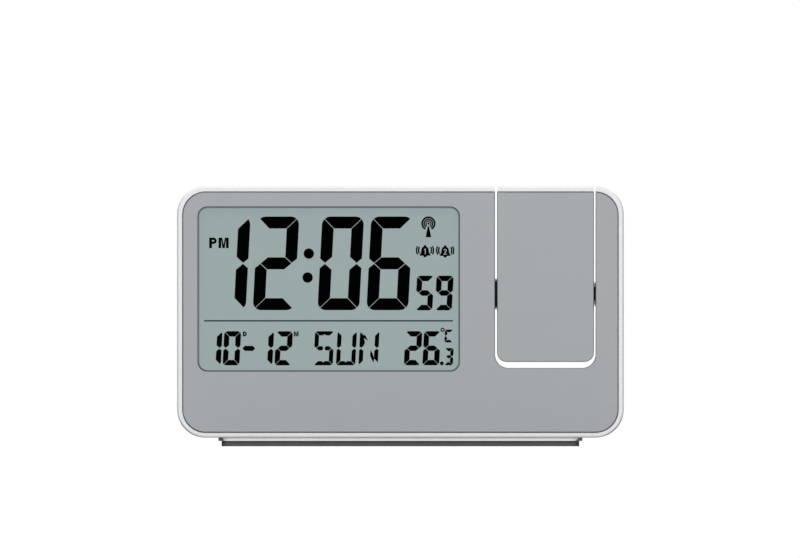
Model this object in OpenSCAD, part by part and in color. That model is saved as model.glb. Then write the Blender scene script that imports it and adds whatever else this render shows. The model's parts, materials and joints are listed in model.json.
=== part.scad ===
// Projection alarm clock: a flat-fronted case with a liquid-crystal display, and a projector arm
// that tilts on two trunnions inside a slot open to the front, the top and the back.
// Millimetres. +Z is up, the display faces -Y, and the origin is on the table, under the
// middle of the case.

/* [Case] */
// Width of the case
case_w = 150; // [149:0.5:153]
// Height of the case, without its foot
case_h = 84.5; // [84:0.25:86]
// Depth of the case, front to back
case_d = 33; // [33:0.25:34]
// Radius of the four corners in front view
corner_r = 9.6; // [9:0.1:10]
// Rounding of the rear rim
back_edge_r = 4.2; // [3:0.1:4.4]
// Rounding of the front rim
front_edge_r = 0.8; // [0.4:0.1:1]
// Wall thickness of the two case shells
wall_t = 1.8; // [1.6:0.1:2]

/* [Front] */
// Width of the rim that frames the panel
lip_w = 1.7; // [1.5:0.1:1.8]
// Distance of the rim's face behind the panel's face
lip_back = 0.4; // [0:0.1:0.5]
// Width of the shadow groove between rim and panel
groove_w = 0.25; // [0.2:0.05:0.5]
// Thickness of the front panel
panel_t = 1.6; // [1.4:0.1:1.8]
// Width of the display window
window_w = 87.7; // [86:0.1:88]
// Height of the display window
window_h = 55.1; // [54:0.1:56]
// Corner radius of the display window
window_r = 3.2; // [2.5:0.1:4]
// Distance of the window's middle left of the case's middle
window_left = 24.05; // [23.5:0.05:24.5]

/* [Projector arm] */
// Width of the slot
slot_w = 33.75; // [33.65:0.05:34.2]
// Depth of the slot below the top of the case
slot_depth = 61.1; // [60.8:0.1:61.4]
// Width of the arm
arm_w = 32.5; // [32.2:0.05:32.6]
// Height of the arm
arm_h = 59.1; // [58.8:0.05:59.15]
// Radius of the arm's bottom corners and rear edges
arm_edge_r = 3.2; // [3:0.1:3.6]
// Distance of the hinge axis below the top of the arm
pivot_drop = 36.3; // [36.2:0.1:36.5]
// Distance of the hinge axis behind the front face
pivot_back = 8.3; // [8.1:0.1:8.4]
// Wall thickness of the arm's shells
arm_wall_t = 1.6; // [1.4:0.1:1.7]
// Radius of the left trunnion, which is hollow for the wires
left_shaft_r = 4.25; // [4.1:0.05:4.3]
// Radius of the right trunnion
right_shaft_r = 2.45; // [2.3:0.05:2.5]
// Radial clearance of the trunnions in their bushes
running_gap = 0.05; // [0.04:0.01:0.08]

/* [Projector] */
// Outer radius of the projector's barrel
barrel_r = 10.8; // [10.6:0.1:10.9]
// Radius of the projection lens
lens_r = 7.6; // [7:0.1:7.7]
// Number of grip ribs on the focus ring
ring_ribs = 24; // [12:2:30]

/* [Keys] */
// Width of a rear key
key_w = 9; // [8:0.5:10]
// Height of a rear key
key_h = 5; // [4:0.5:5.5]
// Travel of a key
key_travel = 0.6; // [0.4:0.1:0.6]
// Clearance round a key
key_gap = 0.25; // [0.2:0.05:0.3]
// Length of the snooze and light bar
snooze_w = 62; // [50:1:66]
// Depth of the snooze and light bar
snooze_d = 11; // [9:0.5:12]
// Rounding of the keys' and the bar's upper edge
cap_edge_r = 0.5; // [0.2:0.1:0.6]

/* [Batteries] */
// Diameter of a cell
cell_d = 14.5; // [14:0.1:14.6]
// Length of a cell over its button
cell_l = 50.5; // [50:0.1:50.5]

/* [Foot] */
// Width of the foot plate
foot_w = 122.2; // [118:0.5:124]
// Depth of the foot plate
foot_d = 26; // [24:0.5:26]
// Thickness of the foot plate
foot_t = 1.1; // [1:0.1:1.5]
// Thickness of the rubber foot
rubber_t = 1.8; // [1.5:0.1:2]

/* [Hidden] */
$fn = 64;

// Finishes
white = "#e6e7e8";
grey = "#a4a9ac";
black = "#17181a";
steel = "#b9bcc0";
board_green = "#2f6b4a";
clear = [0.85, 0.92, 0.95, 0.5];

// Case levels: heights from the table, and depths from the front face backwards
base_z = foot_t + rubber_t;
top_z = base_z + case_h;
mid_z = base_z + case_h / 2;
front_y = -case_d / 2;
back_y = case_d / 2;
panel_back_y = front_y + panel_t;
lip_y = front_y + lip_back;
front_wall_t = 1.2;
front_wall_y = panel_back_y + front_wall_t;
panel_inset = lip_w + groove_w;
panel_z = mid_z - 0.15;        // the rim is a little wider above the panel than below it
panel_top_z = panel_z + case_h / 2 - panel_inset;
parting_groove = 0.3;
merge = 0.2;                   // how far a boss or rib runs into the wall that it stands on
rear_wall_y = back_y - wall_t;
inner_left = -case_w / 2 + wall_t;

// Slot and arm. The arm's side gaps are 0.7 mm on the left and 0.55 mm on the right.
slot_x = 48.625;
slot_r = 4.5;
slot_left = slot_x - slot_w / 2;
slot_right = slot_x + slot_w / 2;
slot_z = top_z - slot_depth;
arm_x = 48.7;
arm_left = arm_x - arm_w / 2;
arm_right = arm_x + arm_w / 2;
arm_z = top_z - arm_h;
pivot_y = front_y + pivot_back;
pivot_z = top_z - pivot_drop;
arm_sweep_r = 24;              // the rear face and the rounded heel stay inside this radius
arm_back_y = pivot_y + arm_sweep_r;
part_y = pivot_y;              // both pairs of shells part through the hinge axis

// Display stack, behind the front wall
window_x = -window_left;
window_z = 52.75;
gasket_w = 0.4;
gasket_sink = 0.2;
pane_t = 1.3;
lcd_w = 90;
lcd_h = 58;
lcd_t = 2.2;
light_h = 50;
light_t = 2.6;
lcd_back_y = front_wall_y + lcd_t;
board_y = front_wall_y + 5.3;
board_t = 1.6;
board_back_y = board_y + board_t;
holder_t = 1.7;

// Screws: [x, z] of each post
housing_posts = [[inner_left + 4.2, 13], [26.3, 80], [70.25, 78], [70.25, 14]];
board_posts = [[-40, 13], [20, 13], [26.3, 32], [26.3, 69]];
post_r = 3.7;
boss_r = 2.9;
board_boss_r = 2.4;
screw_seat_y = part_y + 3;
screw_well_r = 2.8;
screw_hole_r = 1.5;
housing_head_r = 2.5;
housing_shank_r = 1.2;
housing_screw_l = 7.5;
board_head_r = 1.9;
board_shank_r = 0.9;
arm_head_r = 1.7;
arm_shank_r = 0.8;
arm_screw_l = 7;
arm_post_r = 2.1;
arm_post_in = arm_wall_t + arm_post_r - 0.05;
arm_posts = [for (x = [arm_left + arm_post_in, arm_right - arm_post_in],
    z = [arm_z + 8.2, top_z - 15.4]) [x, z]];
arm_post_y = part_y + 4;
arm_front_wall_y = panel_back_y + 1.4;
arm_screw_seat_y = panel_back_y + 1.3;

// Keys on the back, in a shallow pocket: [x, z] of each
pocket_depth = 0.8;
pocket_w = 65;
pocket_h = 27.5;
pocket_x = -35.5;
pocket_z = 68.2;
pocket_y = back_y - pocket_depth;
key_x = [-60, -46, -32];
key_z = [74, 62];
reset_at = [-12, 62];
switch_at = [-12, 74];
switch_travel = 4;
knob_w = 5;
knob_h = 3.4;
small_board_y = 5.4;
small_board_t = 1.6;
tact_y = small_board_y + small_board_t;
tact_body = 3.4;
tact_tip_y = tact_y + tact_body + 0.5;
button_posts = [[-53, 68], [-22, 75]];
button_post_r = 2.2;
key_top_y = back_y - 0.2;
key_flange = 0.8;
key_stem_r = 1.6;
reset_hole_r = 1.2;
reset_pin_r = 0.95;

// Snooze bar, in the top of the case
snooze_x = -24;
snooze_y = -1.5;
snooze_travel = 0.8;
snooze_pad_y = board_back_y + 1.9;
snooze_body_z = [74.5, 80];
snooze_tip_z = 80.6;
snooze_stem_z = snooze_tip_z + snooze_travel + 0.1;

// Batteries: two cells across the back
bay_l = cell_l + 6.5;
bay_h = 2 * cell_d + 2;
bay_x = -32;
bay_z = 24.5;
bay_front_y = rear_wall_y - cell_d - 1.7;
bay_wall_t = 1.4;
door_ledge = 1.4;
door_gap = 0.2;
cell_y = bay_front_y + cell_d / 2 + 0.2;
cell_z = [bay_z - cell_d / 2 - 0.3, bay_z + cell_d / 2 + 0.3];
contact_t = 0.4;
spring_wire_r = 0.45;
spring_sides = 6;
spring_seat = spring_wire_r * cos(180 / spring_sides);   // middle of the end turns over their seat

// Power inlet, antenna, buzzer, vents and the harness's connector
connector_x = 12;
jack_at = [61.5, 13.5];
jack_w = 9;
jack_h = 11;
jack_l = 14;
jack_nose_r = 3.5;
jack_bore_r = 2.75;
jack_pin_r = 1;
antenna_z = 14;
antenna_y = 4;
antenna_r = 4;
antenna_x = [4, 54];
buzzer_at = [14, 66];
buzzer_r = 9;
sound_hole_r = 0.8;
hole_pitch = 3;
vent_at = [14, 32];
vent_l = 12;
vent_w = 1.4;

// Hinge. A collar fills the hole in each wall, and two flared pads face each other in each gap.
collar_left_r = 5.4;
collar_right_r = 4.35;
pad_gap = 0.08;
pad_left = (arm_left - slot_left - pad_gap) / 2;
pad_right = (slot_right - arm_right - pad_gap) / 2;
pad_tip_left_r = 4.8;
pad_tip_right_r = 3.4;
flange_grow = 1.2;
clip_t = 0.6;
clip_grow = 1.1;
washer_t = 0.6;
wire_r = 1.5;
wire_bore_r = 2.4;
bush_flange_t = 1.1;
trunnion_flange_t = 1.4;
wire_bend_r = 2;

// Optics, on the arm's middle line, hung from the top of the arm
axis_y = 0;
barrel_z = [top_z - 44.4, top_z - 4.8];
barrel_wall = 1.6;
bore_r = barrel_r - barrel_wall;
barrel_base_w = 18;
barrel_base_t = 2;
barrel_rib_z = [top_z - 27.4, top_z - 25.4];
slot_angles = [30, 150, 270];
slot_z0 = top_z - 21.4;
condenser_z = barrel_z[0] + 6;
condenser_r = 7.15;
small_lcd_z = barrel_z[0] + 16.4;
small_lcd_w = 12;
small_lcd_t = 1.4;
cell_gap = 0.08;
lens_cell_z = [top_z - 17.4, top_z - 7.4];
ring_z = [top_z - 11.4, top_z - 0.4];
ring_flange_z = [top_z - 4.5, top_z - 2.2];
ring_hole_r = 12.3;
ring_top_r = 12;
ring_skirt_r = 12.4;
ring_flange_r = 13.1;
ring_bore_r = barrel_r + 0.15;
aperture_r = 7.2;
lamp_board_z = barrel_z[0] - 1.4;
lamp_board_w = 23;
lamp_board_d = 19;

// ---------------------------------------------------------------- shapes that repeat

// Rectangle with round corners, centred
module rounded_rect(w, h, r) {
    square([w - 2 * r, h], center = true);
    square([w, h - 2 * r], center = true);
    for (x = [-1, 1], y = [-1, 1]) translate([x * (w / 2 - r), y * (h / 2 - r)]) circle(r);
}

// Strip with half-round ends, centred, along X
module pill(w, h) {
    square([w - h, h], center = true);
    for (x = [-1, 1]) translate([x * (w - h) / 2, 0]) circle(h / 2);
}

// Flat-topped outline with round bottom corners, from z0 up to z1
module u_outline(x, w, r, z0, z1) {
    translate([x - w / 2, z0 + r]) square([w, z1 - z0 - r]);
    translate([x - w / 2 + r, z0]) square([w - 2 * r, r + 1]);
    for (s = [-1, 1]) translate([x + s * (w / 2 - r), z0 + r]) circle(r);
}

// Carries an outline drawn as seen from the front, from depth y0 back to depth y1
module along_y(y0, y1) {
    translate([0, y1, 0]) rotate([90, 0, 0]) linear_extrude(y1 - y0) children();
}

module rod_y(r, y0, y1, x, z) {
    translate([x, y0, z]) rotate([-90, 0, 0]) cylinder(r = r, h = y1 - y0);
}

// Round bar on the hinge axis
module hinge_rod(r, x0, x1, r_end = undef) {
    translate([x0, pivot_y, pivot_z]) rotate([0, 90, 0])
        cylinder(r1 = r, r2 = is_undef(r_end) ? r : r_end, h = x1 - x0);
}

// Round bar on the optical axis
module optic_rod(r, z0, z1, r_end = undef) {
    translate([arm_x, axis_y, z0])
        cylinder(r1 = r, r2 = is_undef(r_end) ? r : r_end, h = z1 - z0);
}

module box(x, y, z) {
    translate([x[0], y[0], z[0]]) cube([x[1] - x[0], y[1] - y[0], z[1] - z[0]]);
}

// Half of a slab's section: its outer edge is rounded at both faces
module rim_profile(reach, depth, front_r, back_r) {
    square([reach - front_r, depth - back_r]);
    translate([0, front_r]) square([reach, depth - front_r - back_r]);
    square([reach - back_r, depth]);
    translate([reach - front_r, front_r]) circle(front_r);
    translate([reach - back_r, depth - back_r]) circle(back_r);
}

// Slab with round corners in front view and round rims at the front and at the back,
// its front face at depth y0
module slab(w, h, corner, y0, depth, front_r, back_r) {
    translate([0, y0, mid_z]) rotate([-90, 0, 0]) {
        rotate([90, 0, 90]) linear_extrude(w - 2 * corner, center = true)
            for (s = [0, 1]) mirror([s, 0]) rim_profile(h / 2, depth, front_r, back_r);
        for (s = [0, 1]) mirror([s, 0, 0]) {
            translate([w / 2 - corner, 0, 0]) rotate([90, 0, 0])
                linear_extrude(h - 2 * corner, center = true)
                    rim_profile(corner, depth, front_r, back_r);
            translate([w / 2 - corner, h / 2 - corner, 0])
                rotate_extrude(angle = 90) rim_profile(corner, depth, front_r, back_r);
            translate([w / 2 - corner, corner - h / 2, 0]) rotate([0, 0, -90])
                rotate_extrude(angle = 90) rim_profile(corner, depth, front_r, back_r);
        }
    }
}

// Self-tapping screw pointing forwards: its head's seat is at depth y
module screw(x, z, y, head_r, shank_r, l) {
    difference() {
        rod_y(head_r, y, y + head_r * 0.7, x, z);
        for (a = [0, 90])
            translate([x, y + head_r * 0.9, z]) rotate([0, a, 0])
                cube([head_r * 1.2, head_r, head_r * 0.3], center = true);
    }
    rod_y(shank_r, y - l, y, x, z);
}

// Quarter bend of the round harness about the Z axis, from the X axis to the Y axis
module wire_bend() {
    rotate_extrude(angle = 90) translate([wire_bend_r, 0]) circle(wire_r);
}

// ---------------------------------------------------------------- the case

// Case with both shells as one hollow form, the slot cut through it
module case_form() {
    difference() {
        union() {
            difference() {
                slab(case_w, case_h, corner_r, lip_y, back_y - lip_y, front_edge_r, back_edge_r);
                slab(case_w - 2 * wall_t, case_h - 2 * wall_t, corner_r - wall_t, front_wall_y,
                    rear_wall_y - front_wall_y, 0.3, back_edge_r - wall_t);
            }
            intersection() {
                slab(case_w - 1, case_h - 1, corner_r - 0.5, lip_y, back_y - lip_y,
                    front_edge_r, back_edge_r);
                along_y(panel_back_y, back_y) slot_outline(wall_t);
            }
        }
        along_y(front_y - 1, back_y + 1) slot_outline(0);
    }
}

module slot_outline(grow) {
    u_outline(slot_x, slot_w + 2 * grow, slot_r + grow, slot_z - grow, top_z + 10);
}

// Place for the window's outline
module at_window() {
    translate([window_x, window_z]) children();
}

// Outline of the case, inset at its sides and, moved to the panel's middle, above and below
module panel_outline(inset) {
    translate([0, panel_z]) rounded_rect(case_w - 2 * inset, case_h - 2 * inset, corner_r - inset);
}

// Channel cut round an outline at the parting plane, where two shells meet
module parting_channel() {
    along_y(part_y, part_y + parting_groove) difference() {
        translate([0, mid_z]) square([case_w + 10, case_h + 10], center = true);
        children();
    }
}

module front_shell() {
    color(white) difference() {
        union() {
            intersection() {
                case_form();
                box([-case_w, case_w], [front_y - 1, part_y], [0, 2 * top_z]);
            }
            for (p = housing_posts) rod_y(boss_r, front_wall_y - merge, part_y, p[0], p[1]);
            for (p = board_posts) rod_y(board_boss_r, front_wall_y - merge, board_y, p[0], p[1]);
        }
        along_y(front_y - 1, panel_back_y) panel_outline(lip_w);
        along_y(panel_back_y - 1, front_wall_y + 1) at_window()
            rounded_rect(window_w - 2 * gasket_w, window_h - 2 * gasket_w, window_r - gasket_w);
        for (p = housing_posts)
            rod_y(housing_shank_r, part_y - (front_wall_t + 3.6), part_y + 1, p[0], p[1]);
        for (p = board_posts) rod_y(board_shank_r, front_wall_y, board_y + 1, p[0], p[1]);
        hinge_rod(collar_left_r, slot_left - 4, slot_left + 1);
        hinge_rod(collar_right_r, slot_right - 1, slot_right + 4);
    }
}

module rear_shell() {
    color(white) difference() {
        union() {
            intersection() {
                case_form();
                box([-case_w, case_w], [part_y, back_y + 1], [0, 2 * top_z]);
            }
            for (p = housing_posts) rod_y(post_r, part_y, rear_wall_y + merge, p[0], p[1]);
            for (p = button_posts) rod_y(button_post_r, tact_y, pocket_y - merge, p[0], p[1]);
            along_y(bay_front_y - bay_wall_t, rear_wall_y + merge) bay_outline(door_ledge + 1.2);
            antenna_saddles();
        }
        parting_channel() translate([0, mid_z])
            rounded_rect(case_w - 2 * parting_groove, case_h - 2 * parting_groove,
                corner_r - parting_groove);
        // battery bay, the ledge that its door rests on, and the thumb recess at its edge
        along_y(bay_front_y, back_y + 1) translate([bay_x, bay_z])
            square([bay_l, bay_h], center = true);
        along_y(rear_wall_y, back_y + 1) bay_outline(door_ledge);
        // key pocket and the openings in its floor
        along_y(pocket_y, back_y + 1) translate([pocket_x, pocket_z])
            rounded_rect(pocket_w, pocket_h, 4);
        for (x = key_x, z = key_z)
            along_y(rear_wall_y - 1, back_y) translate([x, z])
                pill(key_w + 2 * key_gap, key_h + 2 * key_gap);
        along_y(rear_wall_y - 1, back_y) translate(switch_at)
            square([knob_w + switch_travel + 0.6, knob_h + 0.4], center = true);
        rod_y(reset_hole_r, rear_wall_y - 1, back_y, reset_at[0], reset_at[1]);
        // snooze bar's opening
        translate([snooze_x, snooze_y, top_z - wall_t - 1]) linear_extrude(wall_t + 2)
            pill(snooze_w + 2 * key_gap, snooze_d + 2 * key_gap);
        // screw wells
        for (p = housing_posts) {
            rod_y(screw_well_r, screw_seat_y, back_y + 1, p[0], p[1]);
            rod_y(screw_hole_r, part_y - 1, screw_seat_y + 1, p[0], p[1]);
        }
        for (p = button_posts) rod_y(board_shank_r, tact_y - 1, tact_y + 5, p[0], p[1]);
        hinge_rod(collar_left_r, slot_left - 4, slot_left + 1);
        hinge_rod(collar_right_r, slot_right - 1, slot_right + 4);
        // power inlet, sound holes and vents
        rod_y(jack_nose_r + 0.1, rear_wall_y - 1, back_y + 1, jack_at[0], jack_at[1]);
        for (ring = [0, 1, 2], a = [0:60 / max(ring, 1):359])
            if (ring > 0 || a == 0)
                rod_y(sound_hole_r, rear_wall_y - 1, back_y + 1,
                    buzzer_at[0] + hole_pitch * ring * cos(a),
                    buzzer_at[1] + hole_pitch * ring * sin(a));
        for (i = [-2:2])
            along_y(rear_wall_y - 1, back_y + 1)
                translate([vent_at[0] + hole_pitch * i, vent_at[1]])
                    rotate(90) pill(vent_l, vent_w);
    }
}

// Outline of the battery bay, grown on all sides, with its corners rounded
module bay_outline(grow) {
    translate([bay_x, bay_z]) rounded_rect(bay_l + 2 * grow, bay_h + 2 * grow, 2);
}

// Two open saddles that the antenna rod is pushed into
module antenna_saddles() {
    for (x = [antenna_x[0] + 6, antenna_x[1] - 8])
        difference() {
            box([x, x + 1.6], [antenna_y, rear_wall_y + 0.5], [base_z + 1, antenna_z + 2]);
            translate([x - 1, antenna_y, antenna_z]) rotate([0, 90, 0])
                cylinder(r = antenna_r, h = 4);
        }
}

module front_panel() {
    color(grey) along_y(front_y, panel_back_y) difference() {
        panel_outline(panel_inset);
        at_window() rounded_rect(window_w, window_h, window_r);
        slot_outline(0);
    }
}

module window_gasket() {
    color(black) along_y(front_y + gasket_sink, panel_back_y) at_window() difference() {
        rounded_rect(window_w, window_h, window_r);
        rounded_rect(window_w - 2 * gasket_w, window_h - 2 * gasket_w, window_r - gasket_w);
    }
}

module lcd_window() {
    color(clear) along_y(front_y + gasket_sink, front_y + gasket_sink + pane_t) at_window()
        rounded_rect(window_w - 2 * gasket_w, window_h - 2 * gasket_w, window_r - gasket_w);
}

// ---------------------------------------------------------------- display and boards

// Two glass sheets: the front one is taller, and its overhang carries the contacts
module lcd_glass() {
    color("#9ca9a9") union() {
        along_y(front_wall_y, front_wall_y + lcd_t / 2) at_window()
            square([lcd_w, lcd_h], center = true);
        along_y(front_wall_y + lcd_t / 2, lcd_back_y) at_window()
            square([lcd_w, light_h + 1], center = true);
    }
}

// Light guide with a lamp housing at each end
module lcd_backlight() {
    color("#f4f6f4") along_y(lcd_back_y, lcd_back_y + light_t) at_window() {
        square([lcd_w - 6, light_h], center = true);
        for (s = [-1, 1]) translate([s * (lcd_w / 2 - 2), 0]) square([4, light_h - 14], center = true);
    }
}

module lcd_holder() {
    outer_w = lcd_w + 0.4 + 2 * holder_t;
    outer_h = lcd_h + 0.4 + 2 * holder_t;
    color("#dfe2e3") along_y(front_wall_y, board_y) at_window() difference() {
        rounded_rect(outer_w, outer_h, 1.5);
        square([lcd_w + 0.4, lcd_h + 0.4], center = true);
    }
}

module zebra_strips() {
    color("#c9a0a8") for (s = [-1, 1])
        along_y(front_wall_y + lcd_t / 2, board_y)
            translate([window_x, window_z + s * (lcd_h / 2 - 1.6)])
                square([lcd_w - 8, 2.2], center = true);
}

module main_board() {
    color(board_green) difference() {
        box([-70, 28.5], [board_y, board_back_y], [7, 83.5]);
        for (p = housing_posts) rod_y(post_r + 0.6, board_y - 1, board_back_y + 1, p[0], p[1]);
        for (p = board_posts) rod_y(1.3, board_y - 1, board_back_y + 1, p[0], p[1]);
        box([21.4, 30], [board_y - 1, board_back_y + 1], [pivot_z - 8.4, pivot_z + 8.4]);
    }
}

// Resin drop over the clock's bare chip
module chip_blob() {
    drop_r = 9;
    drop_h = 1.8;
    ball_r = (drop_r * drop_r + drop_h * drop_h) / (2 * drop_h);
    color(black) intersection() {
        translate([-14, board_back_y + drop_h - ball_r, 55]) sphere(ball_r, $fn = 240);
        rod_y(drop_r + 1, board_back_y, board_back_y + drop_h + 1, -14, 55);
    }
}

module crystal() {
    color(steel) translate([4, board_back_y + 1.5, 52]) cylinder(r = 1.5, h = 6);
}

module board_screws() {
    color(steel) {
        for (p = board_posts)
            screw(p[0], p[1], board_back_y, board_head_r, board_shank_r, 5);
        for (p = button_posts) mirror([0, 1, 0])
            screw(p[0], p[1], -small_board_y, board_head_r, board_shank_r, 5.5);
    }
}

module button_board() {
    color(board_green) difference() {
        box([-68, -2], [small_board_y, tact_y], [54, 81]);
        for (p = button_posts) rod_y(1.1, small_board_y - 1, tact_y + 1, p[0], p[1]);
    }
}

module tact_switch(x, z) {
    box([x - 3, x + 3], [tact_y, tact_y + tact_body], [z - 3, z + 3]);
    rod_y(1.7, tact_y + tact_body, tact_tip_y, x, z);
}

module tact_switches() {
    color(black) {
        for (x = key_x, z = key_z) tact_switch(x, z);
        tact_switch(reset_at[0], reset_at[1]);
    }
}

module slide_switch() {
    color(steel) difference() {
        box([switch_at[0] - 6, switch_at[0] + 6], [tact_y, tact_y + 4], [switch_at[1] - 2.6,
            switch_at[1] + 2.6]);
        box([switch_at[0] - 4, switch_at[0] + 4], [tact_y + 1.5, tact_y + 5], [switch_at[1] - 1.2,
            switch_at[1] + 1.2]);
    }
}

// Right-angle switch on the main board, under the snooze bar
module snooze_switch() {
    color(black) {
        box([snooze_x - 3, snooze_x + 3], [board_back_y, board_back_y + 3.8], snooze_body_z);
        translate([snooze_x, snooze_pad_y, snooze_body_z[1]])
            cylinder(r = 1.5, h = snooze_tip_z - snooze_body_z[1]);
    }
}

module buzzer() {
    color("#2a2a2c") {
        rod_y(buzzer_r, rear_wall_y - 3.6, rear_wall_y - 0.6, buzzer_at[0], buzzer_at[1]);
        difference() {
            rod_y(buzzer_r, rear_wall_y - 0.7, rear_wall_y, buzzer_at[0], buzzer_at[1]);
            rod_y(buzzer_r - 1.2, rear_wall_y - 0.6, rear_wall_y + 1, buzzer_at[0], buzzer_at[1]);
        }
    }
}

module antenna_rod() {
    color("#3b3a3c") translate([antenna_x[0], antenna_y, antenna_z]) rotate([0, 90, 0])
        cylinder(r = antenna_r, h = antenna_x[1] - antenna_x[0]);
}

module antenna_coil() {
    color("#b06a32") translate([antenna_x[0] + 16, antenna_y, antenna_z]) rotate([0, 90, 0])
        difference() {
            cylinder(r = antenna_r + 1.3, h = 18);
            translate([0, 0, -1]) cylinder(r = antenna_r, h = 20);
        }
}

// Bead on two leads that hold it near the vents
module temperature_sensor() {
    color("#24262a") {
        translate([vent_at[0], 6, vent_at[1]]) sphere(1.6);
        for (s = [-1, 1]) rod_y(0.3, board_back_y, 6, vent_at[0] + 0.8 * s, vent_at[1]);
    }
}

module dc_jack() {
    x = jack_at[0];
    z = jack_at[1];
    color(black) {
        difference() {
            union() {
                box([x - jack_w / 2, x + jack_w / 2], [rear_wall_y - jack_l, rear_wall_y],
                    [z - jack_h / 2, z + jack_h / 2]);
                rod_y(jack_nose_r, rear_wall_y - 1, back_y - 0.5, x, z);
            }
            rod_y(jack_bore_r, back_y - 10, back_y + 1, x, z);
        }
        rod_y(jack_pin_r, back_y - 11, back_y - 2, x, z);
    }
}

// ---------------------------------------------------------------- batteries

module battery_cells() {
    color("#3c6aa0") for (i = [0, 1]) {
        s = i == 0 ? 1 : -1;
        translate([bay_x + s * (bay_l / 2 - contact_t), cell_y, cell_z[i]])
            rotate([0, -s * 90, 0]) {
                translate([0, 0, 1.3]) cylinder(r = cell_d / 2, h = cell_l - 1.3);
                cylinder(r = 2.75, h = 1.4);
            }
    }
}

function spring_point(t, turns, l) =
    let (a = 360 * turns * t, r = 4.8 - 1.8 * t)
        [r * cos(a), r * sin(a), spring_seat + (l - 2 * spring_seat) * t];

// Conical coil spring, standing on Z, swept as a ring of points along its helix
module coil_spring(turns, l) {
    sides = spring_sides;
    steps = 16 * turns;
    rings = [for (i = [0:steps])
        let (t = i / steps, p = spring_point(t, turns, l), a = 360 * turns * t)
            for (k = [0:sides - 1])
                let (b = 360 * k / sides)
                    p + spring_wire_r * [cos(b) * cos(a), cos(b) * sin(a), sin(b)]];
    walls = [for (i = [0:steps - 1], k = [0:sides - 1])
        [i * sides + k, i * sides + (k + 1) % sides, (i + 1) * sides + (k + 1) % sides,
            (i + 1) * sides + k]];
    ends = [[for (k = [sides - 1:-1:0]) k], [for (k = [0:sides - 1]) steps * sides + k]];
    polyhedron(points = rings, faces = concat(walls, ends));
}

module battery_springs() {
    l = bay_l - cell_l - 2 * contact_t;
    color(steel) for (i = [0, 1]) {
        s = i == 0 ? -1 : 1;
        translate([bay_x + s * (bay_l / 2 - contact_t), cell_y, cell_z[i]])
            rotate([0, -s * 90, 0]) coil_spring(4, l);
    }
}

module battery_contacts() {
    color(steel) for (i = [0, 1], s = [-1, 1])
        translate([bay_x + s * (bay_l / 2 - contact_t / 2), cell_y, cell_z[i]])
            cube([contact_t, 11, 12], center = true);
}

module battery_door() {
    w = bay_l + 2 * door_ledge - 2 * door_gap;
    h = bay_h + 2 * door_ledge - 2 * door_gap;
    color(white) difference() {
        union() {
            along_y(rear_wall_y, back_y) translate([bay_x, bay_z]) rounded_rect(w, h, 1.8);
            for (s = [-1, 1])
                box([bay_x + s * 18 - 0.8, bay_x + s * 18 + 0.8], [rear_wall_y - 1.2, rear_wall_y + 0.1],
                    [bay_z - bay_h / 2 + 1, bay_z + bay_h / 2 - 1]);
        }
        // thumb recess with three grip ridges left standing in it
        along_y(back_y - 0.7, back_y + 1) translate([bay_x, bay_z + h / 2 - 5]) difference() {
            pill(16, 5);
            for (i = [-1:1]) translate([0, 1.4 * i]) pill(9, 0.5);
        }
    }
}

// ---------------------------------------------------------------- foot and case screws

module foot_plate() {
    color("#d5d8da") translate([0, front_y + 1.5 + foot_d / 2, rubber_t])
        linear_extrude(foot_t) rounded_rect(foot_w, foot_d, 4);
}

// The tread is parted by shallow grooves
module rubber_foot() {
    w = foot_w - 2.2;
    d = foot_d - 2.4;
    color(black) translate([0, front_y + 1.5 + foot_d / 2, 0]) difference() {
        linear_extrude(rubber_t) rounded_rect(w, d, 2.8);
        for (i = [-3:3]) translate([0, i * 3, 0.2]) cube([w - 12, 1, 1], center = true);
    }
}

module housing_screws() {
    color(steel) for (p = housing_posts)
        screw(p[0], p[1], screw_seat_y, housing_head_r, housing_shank_r, housing_screw_l);
}

// ---------------------------------------------------------------- hinge

// Bush in a wall of the slot: collar through the wall, flared pad in the gap, flange inside.
// dir is the way from the slot into the case: -1 on the left, 1 on the right.
module bush(wall_x, dir, collar_r, shaft_r, pad, pad_tip_r) {
    inside = wall_x + dir * wall_t;
    difference() {
        union() {
            hinge_span(collar_r, wall_x, inside);
            flat_flange(collar_r + flange_grow, inside, inside + dir * bush_flange_t,
                front_wall_y + 0.1);
            translate([wall_x, pivot_y, pivot_z]) rotate([0, -dir * 90, 0])
                cylinder(r1 = collar_r, r2 = pad_tip_r, h = pad);
        }
        hinge_span(shaft_r + running_gap, wall_x - dir, inside + dir * 2);
    }
}

module hinge_span(r, xa, xb) {
    hinge_rod(r, min(xa, xb), max(xa, xb));
}

// Flange with a flat towards the front wall, which keeps it from turning
module flat_flange(r, xa, xb, flat_y) {
    intersection() {
        hinge_span(r, xa, xb);
        box([min(xa, xb) - 1, max(xa, xb) + 1], [flat_y, pivot_y + 2 * r],
            [pivot_z - 2 * r, pivot_z + 2 * r]);
    }
}

module left_hinge_bush() {
    color(black) bush(slot_left, -1, collar_left_r, left_shaft_r, pad_left, pad_tip_left_r);
}

module right_hinge_bush() {
    color(black) bush(slot_right, 1, collar_right_r, right_shaft_r, pad_right, pad_tip_right_r);
}

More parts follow.
